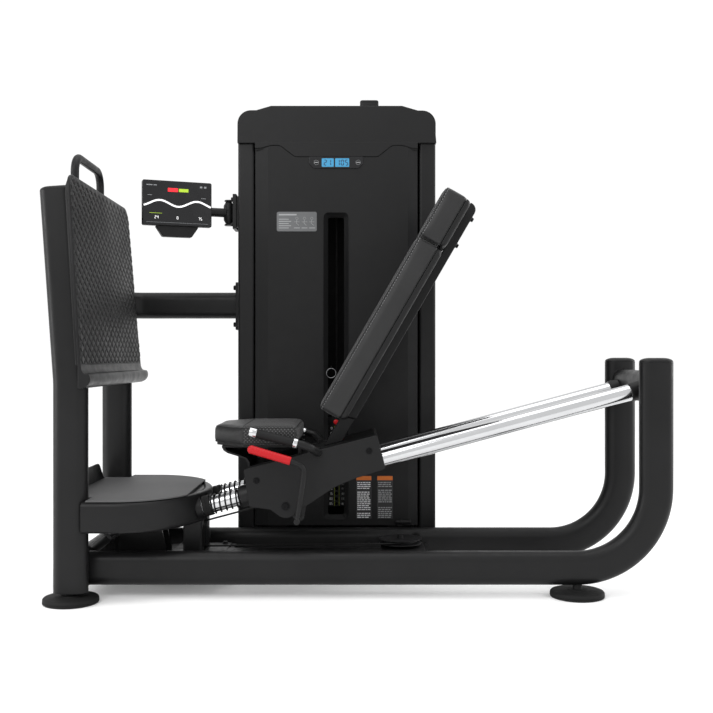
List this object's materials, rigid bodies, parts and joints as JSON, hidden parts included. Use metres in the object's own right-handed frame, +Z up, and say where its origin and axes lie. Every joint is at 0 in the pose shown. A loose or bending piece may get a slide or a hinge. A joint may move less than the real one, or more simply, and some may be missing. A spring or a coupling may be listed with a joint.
{
  "type": "leg press machine",
  "caption": "Seated leg press with a leaning footplate, a sprung seat carriage on inclined chrome rods, and a cable-driven weight stack tower.",
  "frame": {"origin": "on the floor, under the centre of the overall box", "axes": "+X from the footplate towards the seat and the rear uprights, +Y from the open side towards the weight tower, +Z up"},
  "size_m": [1.8514, 0.981, 1.594],
  "materials": {
    "frame_paint": "satin black powder coat",
    "plate_paint": "textured black powder coat",
    "tread": "moulded diamond tread",
    "mat": "ribbed grey mat",
    "black_plastic": "moulded, fine grain",
    "bumper_rubber": "matt",
    "spring_steel": "black coated wire",
    "chrome": "polished",
    "shroud": "thermoformed, fine grain",
    "display": "smoked window",
    "screen": "glossy front, matt case",
    "labels": "printed plates",
    "weights": "black painted",
    "pin": "red knob on a steel pin",
    "sheave": "moulded nylon",
    "cable": "coated wire cable",
    "bronze": "bearing bronze",
    "upholstery": "black vinyl, dimpled on the seat",
    "red_grip": "red moulded grip"
  },
  "bodies": {
    "root": {"rail_near": "frame_paint", "rail_far": "frame_paint", "front_cross_tube": "frame_paint", "footplate_posts": "frame_paint", "tube_caps": "black_plastic", "upper_crossbar": "frame_paint", "guide_rods": "chrome", "rod_collars": "black_plastic", "rod_bumper_rings": "bumper_rubber", "bumper_springs": "spring_steel", "rod_column": "frame_paint", "base_cross_frame": "frame_paint", "step_platform": "frame_paint", "step_mat": "mat", "kick_plate": "frame_paint", "footplate": "plate_paint", "footplate_tread": "tread", "footplate_brackets": "frame_paint", "footplate_handle": "frame_paint", "foot_discs": "black_plastic", "link_tube": "frame_paint", "tower_base": "plate_paint", "tower_sides": "frame_paint", "tower_top_beam": "plate_paint", "shroud_front": "shroud", "shroud_rear": "plate_paint", "tower_cap": "shroud", "display_module": "display", "info_plates": "labels", "barrel_socket": "black_plastic", "sensor_box": "black_plastic", "stack_guide_rods": "chrome", "stack_plates": "weights", "stack_bumpers": "bumper_rubber", "pulley_brackets": "plate_paint", "drive_cable": "cable", "run_cables": "cable", "stack_cable": "cable", "console_bracket": "frame_paint"},
    "carriage": {"carriage_side_plates": "frame_paint", "carriage_frame": "frame_paint", "slide_bushes": "bronze", "seat_pad": "upholstery", "backrest_frame": "frame_paint", "back_pads": "upholstery", "handle_tubes": "frame_paint", "handle_grips": "bumper_rubber", "grip_rings": "chrome"},
    "lever": {"release_lever": "frame_paint", "lever_grip": "red_grip"},
    "stack": {"stack_head": "weights"},
    "pin": {"selector_pin": "pin"},
    "pulley_front": {"front_pulley": "sheave"},
    "pulley_deflection": {"deflection_pulley": "sheave"},
    "pulley_low": {"tower_low_pulley": "sheave"},
    "pulley_right": {"top_pulley_right": "sheave"},
    "pulley_left": {"top_pulley_left": "sheave"},
    "arm": {"console_arm": "black_plastic"},
    "screen": {"console_screen": "screen"}
  },
  "joints": [
    {"name": "carriage_slide", "type": "slide", "parent": "root", "child": "carriage", "axis": [0.9659, 0, 0.2588], "range_m": [0, 0.68], "deforming": ["drive_cable"]},
    {"name": "stack_lift", "type": "slide", "parent": "root", "child": "stack", "axis": [0, 0, 1], "range_m": [0, 0.7], "deforming": ["stack_cable"]},
    {"name": "pin_pull", "type": "slide", "parent": "stack", "child": "pin", "axis": [0, -1, 0], "range_m": [0, 0.125]},
    {"name": "lever_pull", "type": "hinge", "parent": "carriage", "child": "lever", "pos_m": [-0.18623, -0.1045, 0.23], "axis": [0, 1, 0], "range_deg": [0, 10], "stiffness_Nm_per_rad": 5, "springref_deg": -5.73},
    {"name": "console_swivel", "type": "hinge", "parent": "root", "child": "arm", "pos_m": [-0.45922, 0.2255, 1.213], "axis": [0, 0, 1], "range_deg": [-25, 25]},
    {"name": "screen_tilt", "type": "hinge", "parent": "arm", "child": "screen", "pos_m": [-0.63794, 0.15868, 1.213], "axis": [0.9367, 0.3502, 0], "range_deg": [-15, 15]},
    {"name": "front_pulley_turn", "type": "hinge", "parent": "root", "child": "pulley_front", "pos_m": [-0.51723, -0.1045, 0.1468], "axis": [0, 1, 0], "range_deg": [-10, 1100]},
    {"name": "deflection_pulley_turn", "type": "hinge", "parent": "root", "child": "pulley_deflection", "pos_m": [0.13078, -0.0095, 0.111], "axis": [0, 0, 1], "range_deg": [-700, 10]},
    {"name": "low_pulley_turn", "type": "hinge", "parent": "root", "child": "pulley_low", "pos_m": [0.18777, 0.2205, 0.156], "axis": [1, 0, 0], "range_deg": [-880, 10]},
    {"name": "right_pulley_turn", "type": "hinge", "parent": "root", "child": "pulley_right", "pos_m": [0.13778, 0.2655, 1.44], "axis": [0, 1, 0], "range_deg": [-10, 800]},
    {"name": "left_pulley_turn", "type": "hinge", "parent": "root", "child": "pulley_left", "pos_m": [-0.03222, 0.2655, 1.44], "axis": [0, 1, 0], "range_deg": [-10, 800]}
  ],
  "couplings": [
    {"joint": "stack_lift", "follows": "carriage_slide", "ratio": 1},
    {"joint": "front_pulley_turn", "follows": "carriage_slide", "rad_per_m": 27.778},
    {"joint": "deflection_pulley_turn", "follows": "carriage_slide", "rad_per_m": -17.544},
    {"joint": "low_pulley_turn", "follows": "carriage_slide", "rad_per_m": -22.222},
    {"joint": "right_pulley_turn", "follows": "carriage_slide", "rad_per_m": 20},
    {"joint": "left_pulley_turn", "follows": "carriage_slide", "rad_per_m": 20}
  ]
}
